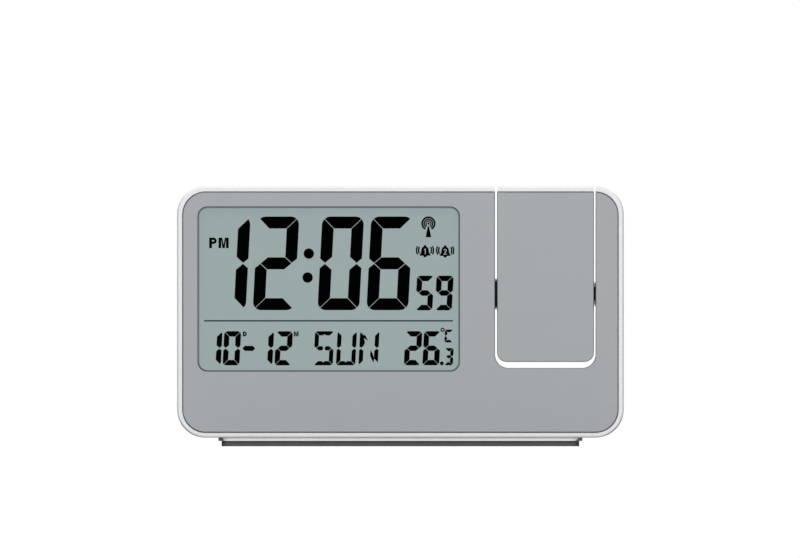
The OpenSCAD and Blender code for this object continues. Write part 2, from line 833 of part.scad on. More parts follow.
// Trunnion of the arm: flange inside the arm, collar through its wall, flared pad in the gap,
// and the shaft, which ends behind its retaining clip. dir is the way out of the arm.
module trunnion(wall_x, dir, collar_r, shaft_r, pad, pad_tip_r, shaft_end) {
    inside = wall_x - dir * arm_wall_t;
    difference() {
        union() {
            hinge_span(shaft_r, inside, shaft_end);
            hinge_span(collar_r, wall_x, inside);
            flat_flange(collar_r + flange_grow, inside, inside - dir * trunnion_flange_t,
                arm_front_wall_y);
            translate([wall_x, pivot_y, pivot_z]) rotate([0, dir * 90, 0])
                cylinder(r1 = collar_r, r2 = pad_tip_r, h = pad);
        }
        difference() {
            hinge_span(shaft_r + 1, clip_x(dir) - clip_t / 2 - 0.05, clip_x(dir) + clip_t / 2 + 0.05);
            hinge_span(shaft_r - 0.7, clip_x(dir) - clip_t, clip_x(dir) + clip_t);
        }
    }
}

// Middle of a retaining clip, behind the bush's flange and the washer
function clip_x(dir) =
    (dir < 0 ? slot_left : slot_right)
        + dir * (wall_t + bush_flange_t + washer_t + 0.15 + clip_t / 2);
function shaft_end_x(dir) = clip_x(dir) + dir * (clip_t / 2 + 0.9);

module left_trunnion() {
    color(black) difference() {
        trunnion(arm_left, -1, collar_left_r, left_shaft_r, pad_left, pad_tip_left_r,
            shaft_end_x(-1));
        hinge_rod(wire_bore_r, slot_left - 10, arm_left + 10);
    }
}

module right_trunnion() {
    color(black) trunnion(arm_right, 1, collar_right_r, right_shaft_r, pad_right,
        pad_tip_right_r, shaft_end_x(1));
}

module ring_on_hinge(outer_r, inner_r, x_mid, t) {
    difference() {
        hinge_rod(outer_r, x_mid - t / 2, x_mid + t / 2);
        hinge_rod(inner_r, x_mid - t, x_mid + t);
    }
}

module hinge_washers() {
    color(steel) {
        ring_on_hinge(left_shaft_r + clip_grow, left_shaft_r + 0.12,
            slot_left - wall_t - bush_flange_t - washer_t / 2, washer_t);
        ring_on_hinge(right_shaft_r + clip_grow, right_shaft_r + 0.12,
            slot_right + wall_t + bush_flange_t + washer_t / 2, washer_t);
    }
}

module hinge_clips() {
    color("#5b5e63") for (side = [[-1, left_shaft_r], [1, right_shaft_r]])
        difference() {
            ring_on_hinge(side[1] + clip_grow, side[1] - 0.7, clip_x(side[0]), clip_t);
            translate([clip_x(side[0]), pivot_y, pivot_z - side[1]])
                cube([2 * clip_t, 1.2 * side[1], 2 * side[1]], center = true);
        }
}

// Harness from the end of the hollow trunnion to its connector on the main board
module case_wires() {
    start_x = shaft_end_x(-1) - 0.3;
    bend_x = start_x - 0.4;
    side_y = pivot_y + 2 * wire_bend_r + 0.8;
    color("#30343a") {
        hinge_rod(wire_r, bend_x, start_x);
        translate([bend_x, pivot_y + wire_bend_r, pivot_z]) rotate([0, 0, 180]) wire_bend();
        rod_y(wire_r, pivot_y + wire_bend_r, side_y - wire_bend_r, bend_x - wire_bend_r, pivot_z);
        translate([bend_x - 2 * wire_bend_r, side_y - wire_bend_r, pivot_z]) wire_bend();
        translate([connector_x, side_y, pivot_z]) rotate([0, 90, 0])
            cylinder(r = wire_r, h = bend_x - 2 * wire_bend_r - connector_x);
    }
}

module wire_connector() {
    color("#f0efe6") box([connector_x - 6, connector_x], [board_back_y, board_back_y + 7],
        [pivot_z - 4, pivot_z + 4]);
}

// ---------------------------------------------------------------- keys

// Half section of a cap, its upper edge rounded
module cap_profile(reach, depth) {
    square([reach - cap_edge_r, depth]);
    square([reach, depth - cap_edge_r]);
    translate([reach - cap_edge_r, depth - cap_edge_r]) circle(cap_edge_r);
}

// Cap with half-round ends, along X and standing on Z
module cap(w, h, depth) {
    rotate([90, 0, 90]) linear_extrude(w - h, center = true)
        for (s = [0, 1]) mirror([s, 0]) cap_profile(h / 2, depth);
    for (s = [-1, 1]) translate([s * (w - h) / 2, 0, 0])
        rotate([0, 0, -s * 90]) rotate_extrude(angle = 180) cap_profile(h / 2, depth);
}

// Rear key: cap, retaining flange behind the wall, and stem down to its switch
module key(x, z) {
    color("#c9cccf") {
        translate([x, rear_wall_y - 0.2, z]) rotate([-90, 0, 0])
            cap(key_w, key_h, key_top_y - rear_wall_y + 0.2);
        along_y(rear_wall_y - 1, rear_wall_y - 0.1) translate([x, z])
            pill(key_w + 2 * key_flange, key_h + 2 * key_flange);
        rod_y(key_stem_r, tact_tip_y + key_travel + 0.05, rear_wall_y - 0.5, x, z);
    }
}

module mode_button() { key(key_x[0], key_z[0]); }
module alarm_1_button() { key(key_x[1], key_z[0]); }
module alarm_2_button() { key(key_x[2], key_z[0]); }
module up_button() { key(key_x[0], key_z[1]); }
module down_button() { key(key_x[1], key_z[1]); }
module flip_button() { key(key_x[2], key_z[1]); }

module reset_button() {
    x = reset_at[0];
    z = reset_at[1];
    color("#c9cccf") {
        rod_y(reset_pin_r, tact_tip_y + key_travel + 0.05, pocket_y - 0.5, x, z);
        rod_y(2 * reset_pin_r, rear_wall_y - 1, rear_wall_y - 0.2, x, z);
    }
}

// Knob of the projection switch, at the left end of its travel
module switch_knob() {
    x = switch_at[0] - switch_travel / 2;
    z = switch_at[1];
    color(black) {
        difference() {
            along_y(rear_wall_y - 0.6, key_top_y) translate([x, z])
                square([knob_w, knob_h], center = true);
            // grip grooves
            for (i = [-1:1])
                translate([x + 1.2 * i, key_top_y, z]) cube([0.6, 0.8, knob_h + 1], center = true);
        }
        box([x - 1.2, x + 1.2], [tact_y + 1.8, rear_wall_y - 0.5], [z - 1, z + 1]);
    }
}

module snooze_bar() {
    color("#dfe1e3") {
        translate([snooze_x, snooze_y, top_z - wall_t - 0.2]) cap(snooze_w, snooze_d, wall_t + 0.1);
        translate([snooze_x, snooze_y, top_z - wall_t - 1.1]) linear_extrude(1)
            pill(snooze_w + 2 * key_flange, snooze_d + 2 * key_flange);
        translate([snooze_x, snooze_pad_y, snooze_stem_z])
            cylinder(r = 1.3, h = top_z - wall_t - 0.9 - snooze_stem_z);
    }
}

// ---------------------------------------------------------------- projector arm

module arm_face(inset) {
    u_outline(arm_x, arm_w - 2 * inset, arm_edge_r - inset, arm_z + inset, top_z - inset);
}

// Plan of the arm above its hinge: square at the front, round along its rear edges
module arm_plan(inset) {
    r = arm_edge_r - inset;
    y0 = front_y + inset;
    y1 = arm_back_y - inset;
    translate([arm_left + inset, y0]) square([arm_w - 2 * inset, y1 - r - y0]);
    translate([arm_left + arm_edge_r, y0]) square([arm_w - 2 * arm_edge_r, y1 - y0]);
    for (x = [arm_left + arm_edge_r, arm_right - arm_edge_r]) translate([x, y1 - r]) circle(r);
}

// The arm's outer form with inset 0, and its hollow with a wall's inset. The heel below the
// hinge is turned about the hinge axis, so that it clears the slot's floor as it swings.
module arm_form(inset) {
    r = arm_edge_r - inset;
    heel_r = arm_sweep_r - inset;
    intersection() {
        along_y(front_y - 5, back_y + 5) arm_face(inset);
        union() {
            translate([0, 0, pivot_z]) linear_extrude(pivot_drop - inset) arm_plan(inset);
            box([arm_left + inset, arm_right - inset], [front_y + inset, pivot_y],
                [arm_z - 1, pivot_z]);
            translate([0, pivot_y, pivot_z]) rotate([0, 90, 0]) rotate_extrude(angle = 90) {
                translate([0, arm_left + inset]) square([heel_r - r, arm_w - 2 * inset]);
                translate([0, arm_left + arm_edge_r]) square([heel_r, arm_w - 2 * arm_edge_r]);
                for (x = [arm_left + arm_edge_r, arm_right - arm_edge_r])
                    translate([heel_r - r, x]) circle(r);
            }
        }
    }
}

// Section of the arm from the side: the upper edges are rounded in front and behind
module arm_side() {
    y1 = arm_back_y - arm_edge_r;
    z0 = arm_z - 1;
    translate([lip_y, z0]) square([arm_back_y - lip_y, top_z - arm_edge_r - z0]);
    translate([lip_y, z0]) square([y1 - lip_y, top_z - front_edge_r - z0]);
    translate([lip_y + front_edge_r, z0]) square([y1 - lip_y - front_edge_r, top_z - z0]);
    translate([lip_y + front_edge_r, top_z - front_edge_r]) circle(front_edge_r);
    translate([y1, top_z - arm_edge_r]) circle(arm_edge_r);
}

module arm_outer() {
    intersection() {
        arm_form(0);
        translate([arm_x, 0, 0]) rotate([90, 0, 90])
            linear_extrude(arm_w + 2, center = true) arm_side();
    }
}

// Ledge under the lamp board, across a shell's hollow from depth y0 back to depth y1
module lamp_ledge(y0, y1) {
    intersection() {
        arm_form(0.2);
        box([arm_left, arm_right], [y0, y1], [lamp_board_z - 2, lamp_board_z]);
    }
}

// Rib across a shell's hollow, with a seat for the barrel that is open to the front
module barrel_rib(y0, y1) {
    difference() {
        intersection() {
            arm_form(0.2);
            box([arm_left, arm_right], [y0, y1], barrel_rib_z);
        }
        optic_rod(barrel_r, barrel_rib_z[0] - 1, barrel_rib_z[1] + 1);
        box([arm_x - barrel_r, arm_x + barrel_r], [part_y - 1, axis_y],
            [barrel_rib_z[0] - 1, barrel_rib_z[1] + 1]);
    }
}

// Everything in the arm's shells but the plate's seat and the parting cut
module arm_shell_form() {
    difference() {
        union() {
            difference() {
                arm_outer();
                difference() {
                    arm_form(arm_wall_t);
                    box([arm_left, arm_right], [front_y, arm_front_wall_y], [arm_z, top_z]);
                }
            }
            for (p = arm_posts) intersection() {
                arm_form(0.2);
                rod_y(arm_post_r, panel_back_y + 1, arm_post_y, p[0], p[1]);
            }
        }
        optic_rod(ring_hole_r, top_z - 5, top_z + 1);
        hinge_rod(collar_left_r, arm_left - 1, arm_left + 3);
        hinge_rod(collar_right_r, arm_right - 3, arm_right + 1);
    }
}

module arm_front_shell() {
    color(white) difference() {
        union() {
            intersection() {
                arm_shell_form();
                box([arm_left - 1, arm_right + 1], [front_y - 1, part_y], [arm_z - 1, top_z + 1]);
            }
            lamp_ledge(arm_front_wall_y - 0.5, part_y);
            // lip that closes the barrel's seat
            box([arm_x - 6, arm_x + 6], [arm_front_wall_y - 0.5, axis_y - barrel_r], barrel_rib_z);
        }
        box([arm_left - 1, arm_right + 1], [front_y - 1, panel_back_y],
            [arm_z - 1, panel_top_z + groove_w]);
        for (p = arm_posts) {
            rod_y(1, front_y, part_y + 1, p[0], p[1]);
            rod_y(arm_head_r + 0.2, front_y, arm_screw_seat_y, p[0], p[1]);
        }
    }
}

module arm_rear_shell() {
    color(white) difference() {
        union() {
            intersection() {
                arm_shell_form();
                box([arm_left - 1, arm_right + 1], [part_y, back_y + 5], [arm_z - 1, top_z + 1]);
            }
            lamp_ledge(lamp_board_d / 2 - 3, back_y);
            barrel_rib(part_y, back_y);
        }
        parting_channel() arm_face(parting_groove);
        for (p = arm_posts) rod_y(arm_shank_r, part_y - 1, arm_post_y - 0.8, p[0], p[1]);
    }
}

module arm_front_plate() {
    color(grey) along_y(front_y, panel_back_y)
        u_outline(arm_x, arm_w, arm_edge_r, arm_z, panel_top_z);
}

module arm_screws() {
    color(steel) mirror([0, 1, 0])
        for (p = arm_posts)
            screw(p[0], p[1], -arm_screw_seat_y, arm_head_r, arm_shank_r, arm_screw_l);
}

// ---------------------------------------------------------------- projector

// Barrel as one form: a groove holds the condenser, a square seat the small display, and three
// slots keep the lens cell from turning
module barrel_form() {
    difference() {
        union() {
            optic_rod(barrel_r, barrel_z[0], barrel_z[1]);
            translate([arm_x, axis_y, barrel_z[0]]) linear_extrude(barrel_base_t)
                rounded_rect(barrel_base_w, barrel_base_w, 1);
        }
        optic_rod(5.5, barrel_z[0] - 1, condenser_z + 0.1);
        optic_rod(condenser_r + 0.05, condenser_z, condenser_z + 2.2);
        optic_rod(6.2, condenser_z + 2.1, small_lcd_z + 0.1);
        translate([arm_x, axis_y, small_lcd_z]) linear_extrude(small_lcd_t + 1)
            square(small_lcd_w + 0.1, center = true);
        optic_rod(bore_r, small_lcd_z + small_lcd_t, barrel_z[1] + 1);
        for (a = slot_angles)
            translate([arm_x, axis_y, slot_z0]) rotate([0, 0, a])
                translate([bore_r - 1, -1.6, 0]) cube([4, 3.2, 30]);
    }
}

// The barrel's halves close round the optics, face to face on the optical axis
module barrel_front_half() {
    color(black) intersection() {
        barrel_form();
        box([arm_left, arm_right], [axis_y - 2 * barrel_r, axis_y], [0, top_z]);
    }
}

module barrel_rear_half() {
    color(black) intersection() {
        barrel_form();
        box([arm_left, arm_right], [axis_y, axis_y + 2 * barrel_r], [0, top_z]);
    }
}

module lamp_board() {
    color(board_green) box([arm_x - lamp_board_w / 2, arm_x + lamp_board_w / 2],
        [-lamp_board_d / 2, lamp_board_d / 2], [lamp_board_z, barrel_z[0]]);
}

module projection_lamp() {
    color("#f2f1d8") {
        optic_rod(2.9, barrel_z[0], barrel_z[0] + 1);
        optic_rod(2.5, barrel_z[0] + 0.9, barrel_z[0] + 3.4);
        intersection() {
            translate([arm_x, axis_y, barrel_z[0] + 3.4]) sphere(2.5);
            optic_rod(3, barrel_z[0] + 3.4, barrel_z[0] + 7);
        }
    }
}

// Plano-convex lens, flat side down, in the barrel's groove
module condenser_lens() {
    ball_r = 9;
    dome_h = 4.6;
    color(clear) intersection() {
        translate([arm_x, axis_y, condenser_z + dome_h - ball_r]) sphere(ball_r);
        optic_rod(condenser_r, condenser_z, condenser_z + dome_h + 1);
    }
}

module projection_lcd() {
    color("#3c4248") translate([arm_x, axis_y, small_lcd_z]) linear_extrude(small_lcd_t)
        square(small_lcd_w, center = true);
}

// Cell that carries the lens; its three keys reach through the barrel's slots to the ring
module lens_cell() {
    color(black) difference() {
        union() {
            optic_rod(bore_r - cell_gap, lens_cell_z[0], lens_cell_z[1]);
            for (a = slot_angles)
                translate([arm_x, axis_y, lens_cell_z[0] + 2]) rotate([0, 0, a])
                    translate([bore_r - 2, -1.45, 0]) cube([3.2, 2.9, 4]);
        }
        optic_rod(lens_r, lens_cell_z[0] + 2, lens_cell_z[1] + 1);
        optic_rod(lens_r - 1, lens_cell_z[0] - 1, lens_cell_z[1] + 1);
    }
}

module projection_lens() {
    z0 = lens_cell_z[0] + 2;
    ball_r = 13;
    dome_h = 6;
    color(clear) intersection() {
        translate([arm_x, axis_y, z0 + dome_h - ball_r]) sphere(ball_r);
        optic_rod(lens_r, z0, z0 + dome_h + 1);
    }
}

// Knurled ring set in the arm's top: dished face, aperture, and skirt round the barrel
module focus_ring() {
    color(black) difference() {
        union() {
            optic_rod(ring_skirt_r, ring_z[0], ring_flange_z[0] + 0.1);
            optic_rod(ring_flange_r, ring_flange_z[0], ring_flange_z[1]);
            optic_rod(ring_top_r, ring_flange_z[1] - 0.1, ring_z[1]);
        }
        optic_rod(ring_bore_r, ring_z[0] - 1, barrel_z[1] + 0.05);
        optic_rod(aperture_r, ring_z[0], ring_z[1] + 1);
        optic_rod(aperture_r, ring_z[1] - 2.4, ring_z[1] + 0.01, ring_top_r - 1.4);
        for (i = [0:ring_ribs - 1])
            translate([arm_x, axis_y, ring_z[1]]) rotate([0, 0, 360 * i / ring_ribs])
                translate([aperture_r + 2.2, 0, 0]) cube([4, 0.7, 1.4], center = true);
    }
}

// Harness from the lamp board, up to the hinge axis and out through the hollow trunnion
module arm_wires() {
    bend_x = arm_left + 3.2;
    down_z = pivot_z - wire_bend_r;
    color("#30343a") {
        hinge_rod(wire_r, shaft_end_x(-1), bend_x);
        translate([bend_x, pivot_y, down_z]) rotate([90, 0, 0]) wire_bend();
        translate([bend_x + wire_bend_r, pivot_y, barrel_z[0]])
            cylinder(r = wire_r, h = down_z - barrel_z[0]);
    }
}

front_shell();
rear_shell();
front_panel();
lcd_window();
window_gasket();
lcd_glass();
lcd_backlight();
lcd_holder();
zebra_strips();
main_board();
chip_blob();
crystal();
board_screws();
button_board();
tact_switches();
slide_switch();
snooze_switch();
buzzer();
antenna_rod();
antenna_coil();
temperature_sensor();
dc_jack();
battery_cells();
battery_springs();
battery_contacts();
battery_door();
foot_plate();
rubber_foot();
housing_screws();
left_hinge_bush();
right_hinge_bush();
hinge_washers();
case_wires();
wire_connector();
snooze_bar();
mode_button();
alarm_1_button();
alarm_2_button();
up_button();
down_button();
flip_button();
reset_button();
switch_knob();
arm_front_plate();
arm_front_shell();
arm_rear_shell();
left_trunnion();
right_trunnion();
hinge_clips();
barrel_front_half();
barrel_rear_half();
lamp_board();
projection_lamp();
condenser_lens();
projection_lcd();
arm_screws();
arm_wires();
focus_ring();
lens_cell();
projection_lens();
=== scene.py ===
"""Projection alarm clock: finishes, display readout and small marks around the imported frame."""
import json
import math

import bmesh
import bpy
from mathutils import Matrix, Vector


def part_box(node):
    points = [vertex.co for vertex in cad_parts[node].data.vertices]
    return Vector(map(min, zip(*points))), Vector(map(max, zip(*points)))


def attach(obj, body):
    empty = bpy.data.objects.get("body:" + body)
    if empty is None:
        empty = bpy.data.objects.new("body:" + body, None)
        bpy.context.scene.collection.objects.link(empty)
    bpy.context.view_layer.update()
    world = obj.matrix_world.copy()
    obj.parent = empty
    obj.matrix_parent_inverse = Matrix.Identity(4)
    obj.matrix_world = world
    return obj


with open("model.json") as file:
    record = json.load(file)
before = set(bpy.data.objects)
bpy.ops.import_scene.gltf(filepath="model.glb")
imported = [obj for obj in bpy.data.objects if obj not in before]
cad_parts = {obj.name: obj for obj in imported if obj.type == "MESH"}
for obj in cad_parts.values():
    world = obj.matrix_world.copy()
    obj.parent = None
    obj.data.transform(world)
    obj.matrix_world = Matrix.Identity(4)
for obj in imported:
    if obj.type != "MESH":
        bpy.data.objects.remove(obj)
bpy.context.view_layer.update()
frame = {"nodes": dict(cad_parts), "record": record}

MM = 0.001

# Framing: the picture's size in pixels, and where it shows the case's sides and the table
PICTURE_W, PICTURE_H = 800, 558
CASE_SIDES_PX = (176.9, 623.9)
TABLE_PX = 446.3
CAMERA_Y = -2

# Surround: its strength level with the horizon, and how it changes to the sides, back and top.
# Under the floor it has the floor's own brightness, so that the floor's edge doesn't show.
WORLD_LEVEL, WORLD_SIDE_LOSS, WORLD_BACK_GAIN, WORLD_TOP_GAIN = 0.8, 0.4, 0.22, 0.35
WORLD_UNDER_FLOOR, WORLD_UNDER_BACK_GAIN = 0.7, 0.05
UNDER_FLOOR_FROM = -0.001

# Lamps by name, each with its place, size and power, and the point that they all face
LAMPS = {"key": ((-0.4, -2.6, 2.2), 1.4, 32), "fill": ((0.5, -2.8, 0.7), 1.6, 11)}
LAMP_TARGET = Vector((0, 0, 0.045))

# Floor: half its side in metres, and its grey
FLOOR_HALF, FLOOR_GREY = 4, 0.62

# Dark display colours, up to the first number, are only divided by the second
STRAIGHT_UP_TO, STRAIGHT_DIVISOR = 10, 3294

# Outline points nearer than this are one point, and so level with each other, in millimetres
SAME_POINT_MM = 1e-4

# How far the readout leans to the right as it rises, and its cells in millimetres
SLANT = 0.0525
BIG = {"width": 14.01, "height": 31.42, "stroke": 4.01, "gap": 0.18}
SMALL = {"width": 5.74, "height": 11.64, "stroke": 1.85, "gap": 0.12}
DATE = {"width": 5.66, "height": 11.46, "stroke": 1.8, "gap": 0.12}
LETTER = {"width": 6.5, "height": 11.45, "stroke": 1.42, "gap": 0.14}
TENTH = {"width": 2.92, "height": 5.8, "stroke": 1.06, "gap": 0.08}
UNIT = {"width": 2.75, "height": 4.3, "stroke": 0.84, "gap": 0.08}
SEGMENTS_ON = {"0": "abcdef", "1": "bc", "2": "abged", "3": "abgcd", "5": "afgcd", "6": "afgecd",
    "9": "abcdfg", "C": "adef", "S": "afgcd", "U": "bcdef", "N": "bcef"}

# At a bend a stroke's corners stand off its line by at most half its width over this
SHARPEST_MITRE = 0.4

# A cell's proportions over its stroke: the frame's corner radius, how far in the tip between an
# upper and a lower side segment stands, and how far over the middle their shoulder stands.
# The gap at that tip is wider than the others by the last factor.
CORNER_SHARE, TIP_SHARE, SHOULDER_SHARE, TIP_GAP_FACTOR = 0.7, 0.43, 0.36, 1.4

# Notch in a weekday letter's bars: half its mouth, half its floor, and its depth
NOTCH_MOUTH, NOTCH_FLOOR, NOTCH_DEPTH = 0.45, 0.12, 0.36

# Split middle bar: half the gap between its halves, and half the blunt end of each. The tip's
# slanting sides lead from that end to a point this far back and this far off the middle.
SPLIT_HALF_GAP, BLUNT_HALF, TIP_BACK, TIP_OFF = 0.25, 0.2, 0.5, 1

# Upper leg between an N's uprights; the lower one is the same after half a turn
N_LEG = ((1.4, 10.5), (2.05, 9.7), (2.75, 8.2), (2.75, 6.3), (1.85, 7.6), (1.35, 9.2))

# Dots, degree ring, dash and divider of the readout, in millimetres from the lower left corner
# of the window's gasket (the dash's corners are taken from DASH_AT), and the ink's thickness
COLON_DOTS, COLON_RADIUS = ((37.16, 39.46), (36.76, 31.44)), 1.75
POINT_AT, POINT_RADIUS = (81.79, 2.64), 0.66
DEGREE_AT, DEGREE_OUTER, DEGREE_INNER = (82.05, 13.9), 0.72, 0.32
DASH_AT = (14.95, 7.65)
DASH = ((-0.06, 0), (0.7, 0.86), (3.45, 0.86), (4.21, 0), (3.45, -0.86), (0.7, -0.86))
DIVIDER = ((2.0, 16.66), (85.55, 16.66), (85.55, 17.16), (2.0, 17.16))
INK_MM = 0.03

# Radio mast: mid-line radius and width of each ring, half the angle of their opening, radius of
# the dot in the middle, and the mast's corners
TOWER_RINGS = ((2.1, 0.6), (1.43, 0.48), (0.84, 0.4))
TOWER_OPENING, TOWER_DOT = 29, 0.38
TOWER_MAST = ((-0.95, -4.6), (0.95, -4.6), (0.2, -0.9), (-0.2, -0.9))

# Bell, about the middle of its mouth: its right side, its knob and its clapper, half the
# distance between the inner ends of its mouth, its number's strokes, its sound waves' reach and
# half-angle from the waves' centre, and the width of both kinds of stroke
BELL_SIDE = ((1.8, -0.06), (1.8, 0.3), (1.4, 0.8), (1.24, 2.0), (0.98, 2.62), (0.5, 2.98),
    (0.36, 3.1))
KNOB_AT, KNOB_RADIUS = (0, 3.15), 0.38
CLAPPER_AT, CLAPPER_RADIUS, MOUTH_END = (0, -0.08), 0.56, 0.6
BELL_NUMBERS = {"1": ((-0.3, 1.85), (0.08, 2.15), (0.08, 0.42)),
    "2": ((-0.4, 1.78), (-0.3, 2.03), (0, 2.15), (0.3, 2), (0.36, 1.7), (0.1, 1.22),
        (-0.36, 0.52), (0.48, 0.52))}
BELL_WAVES, WAVES_AT = ((2.18, 30), (2.84, 29)), (0, 1.75)
NUMBER_STROKE, WAVE_STROKE = 0.27, 0.5

# Signs over the keys: the key pocket's floor in metres, how far a sign's middle stands over its
# key, how far the middle of the switch's slot is from its knob, and thicknesses in millimetres
POCKET_FLOOR = 0.0157
SIGN_GAP = 1.9 * MM
SWITCH_SIGN_SHIFT = 2 * MM
SIGN_MM, SIGN_STROKE, HAND_STROKE = 0.02, 0.26, 0.24
BELL_SIGN_SCALE = 0.72

# Moulded surfaces: the mottling's size in millimetres and its detail, the grain's detail, how
# far the gloss swings either way, the grain's bump strength, and the middle of a noise's range
MOTTLE_MM, MOTTLE_DETAIL, GRAIN_DETAIL, GLOSS_SWING, GRAIN_STRENGTH = 18, 3, 2, 0.04, 0.5
NOISE_MIDDLE = (0.3, 0.7)

# Colour sockets of a Mix node, by number because its other types share their names
MIX_FACTOR, MIX_FIRST, MIX_SECOND, MIX_RESULT = 0, 6, 7, 2

# Painted shade: the facings below set where surfaces are painted darker by the way they face.
# How far a surface has to face one way to start counting, and to count in full, as a sheet's flat
# face, a sheet's corner, a front rounding (and no flat wall), a lower edge or a lower corner.
# Facing down counts as facing sideways by the last factor.
FLAT_FACE, SHEET_CORNER = (0.8, 0.99), (0.03, 0.2)
ROUNDING, LOW_EDGE, LOW_CORNER = (0.03, 0.15), (0.7, 0.95), (0.12, 0.3)
DOWN_AS_SIDEWAYS = 0.4

# Window pane: its gloss's roughness, the slant's even weighting, and the power by which the
# gloss sets in as the pane slants
PANE_ROUGHNESS, EVEN_BLEND, GLOSS_POWER = 0.03, 0.5, 5

# Edges that are broken: the least angle, and the distance in metres up to which vertices are one
SHARP_ANGLE, SAME_VERTEX = math.radians(40), 1e-6


def linear(red, green, blue):
    """A display colour of 0 to 255 as the linear colour that shaders take."""
    return tuple(((c / 255 + 0.055) / 1.055) ** 2.4 if c > STRAIGHT_UP_TO
        else c / STRAIGHT_DIVISOR for c in (red, green, blue))


# ---------------------------------------------------------------- outlines, in millimetres

def arc(centre, radius, start, end, steps=8):
    """Points of an arc, angles in degrees."""
    turns = [math.radians(start + (end - start) * i / steps) for i in range(steps + 1)]
    return [Vector((centre[0] + radius * math.cos(a), centre[1] + radius * math.sin(a)))
        for a in turns]


def disc(centre, radius, steps):
    """Full circle with this many corners."""
    return arc(centre, radius, 0, 360, steps)[:-1]


def rounded(width, height, radius):
    """Rectangle with round corners, its lower left corner at the origin."""
    corners = [(width - radius, radius, -90), (width - radius, height - radius, 0),
        (radius, height - radius, 90), (radius, radius, 180)]
    return [p for x, y, a in corners for p in arc((x, y), radius, a, a + 90)]


def cut(outline, start, end, gap=0.0):
    """What a convex outline has to the left of the line from start to end, half a gap off it."""
    start, end = Vector(start), Vector(end)
    along = (end - start).normalized()
    normal = Vector((-along.y, along.x))
    offset = normal.dot(start) + gap / 2
    kept = []
    for here, there in zip(outline, outline[1:] + outline[:1]):
        a, b = normal.dot(here) - offset, normal.dot(there) - offset
        if a >= 0:
            kept.append(here)
        if (a > 0) != (b > 0):
            kept.append(here.lerp(there, a / (a - b)))
    return kept


def flipped(outline, u_sum=None, v_sum=None):
    """The outline mirrored left to right when u_sum is given, and top to bottom when v_sum is."""
    return [Vector((p.x if u_sum is None else u_sum - p.x, p.y if v_sum is None else v_sum - p.y))
        for p in outline]


def moved(outlines, way):
    """The outlines moved this way."""
    return [[p + Vector(way) for p in outline] for outline in outlines]


def ribbon(points, width):
    """Outline of a stroke of even width along an open line of points."""
    points = [Vector(p) for p in points]
    sides = []
    for i, p in enumerate(points):
        before = (p - points[i - 1]).normalized() if i else None
        after = (points[i + 1] - p).normalized() if i + 1 < len(points) else None
        along = ((before or after) + (after or before)).normalized()
        across = Vector((-along.y, along.x))
        square = Vector((-(after or before).y, (after or before).x))
        sides.append((p, across * (width / 2 / max(across.dot(square), SHARPEST_MITRE))))
    return [p + s for p, s in sides] + [p - s for p, s in reversed(sides)]


def cell(width, height, stroke, gap):
    """The seven segments of a digit, by name, in a frame with rounded outer corners."""
    frame_outline = rounded(width, height, CORNER_SHARE * stroke)
    middle = height / 2
    tip = (TIP_SHARE * stroke, middle)
    shoulder = (0, middle + SHOULDER_SHARE * stroke)
    inner = (stroke, middle + stroke / 2)
    corner, inside = (0, height), (stroke, height - stroke)
    top = cut(frame_outline, (0, height - stroke), (width, height - stroke))
    top = cut(top, corner, inside, gap)
    top = cut(top, (width - stroke, height - stroke), (width, height), gap)
    side = cut(frame_outline, (stroke, 0), (stroke, height))
    side = cut(side, inside, corner, gap)
    side = cut(side, shoulder, tip, TIP_GAP_FACTOR * gap)
    side = cut(side, tip, inner, TIP_GAP_FACTOR * gap)
    bar = [Vector(p) for p in ((0, middle - stroke / 2), (width, middle - stroke / 2),
        (width, middle + stroke / 2), (0, middle + stroke / 2))]
    bar = cut(bar, inner, tip, gap)
    bar = cut(bar, tip, (stroke, middle - stroke / 2), gap)
    bar = cut(bar, (width - tip[0], middle), (width - stroke, middle + stroke / 2), gap)
    bar = cut(bar, (width - stroke, middle - stroke / 2), (width - tip[0], middle), gap)
    return {"a": top, "d": flipped(top, v_sum=height), "g": bar, "f": side,
        "b": flipped(side, u_sum=width), "e": flipped(side, v_sum=height),
        "c": flipped(side, u_sum=width, v_sum=height)}


def notched(outline, width, level, depth):
    """A bar with a small notch in the middle of the edge that lies at this level."""
    notch = ((-NOTCH_MOUTH, 0), (-NOTCH_FLOOR, depth), (NOTCH_FLOOR, depth), (NOTCH_MOUTH, 0))
    made = []
    for here, there in zip(outline, outline[1:] + outline[:1]):
        made.append(here)
        if abs(here.y - level) < SAME_POINT_MM and abs(there.y - level) < SAME_POINT_MM:
            way = 1 if there.x > here.x else -1
            made += [Vector((width / 2 + way * x, level + y)) for x, y in notch]
    return made


def split_bar(bar, width, height):
    """Left half of a middle bar, with a blunt tip at its inner end."""
    middle, end = height / 2, width / 2 - SPLIT_HALF_GAP
    half = cut(bar, (end, 0), (end, height))
    half = cut(half, (end, middle + BLUNT_HALF), (end - TIP_BACK, middle + TIP_OFF))
    return cut(half, (end - TIP_BACK, middle - TIP_OFF), (end, middle - BLUNT_HALF))


def placed(outlines, left, bottom):
    """The outlines leaned over and moved, so that their lower left corner is at this place."""
    return [[Vector((left + p.x + SLANT * p.y, bottom + p.y)) for p in outline]
        for outline in outlines]


def digits(text, left, bottom, pitch, style):
    """Slanted seven-segment text; left is the first cell's lower left corner."""
    made = []
    for i, sign in enumerate(text):
        segments = cell(**style)
        made += placed([segments[s] for s in SEGMENTS_ON[sign]], left + i * pitch, bottom)
    return made


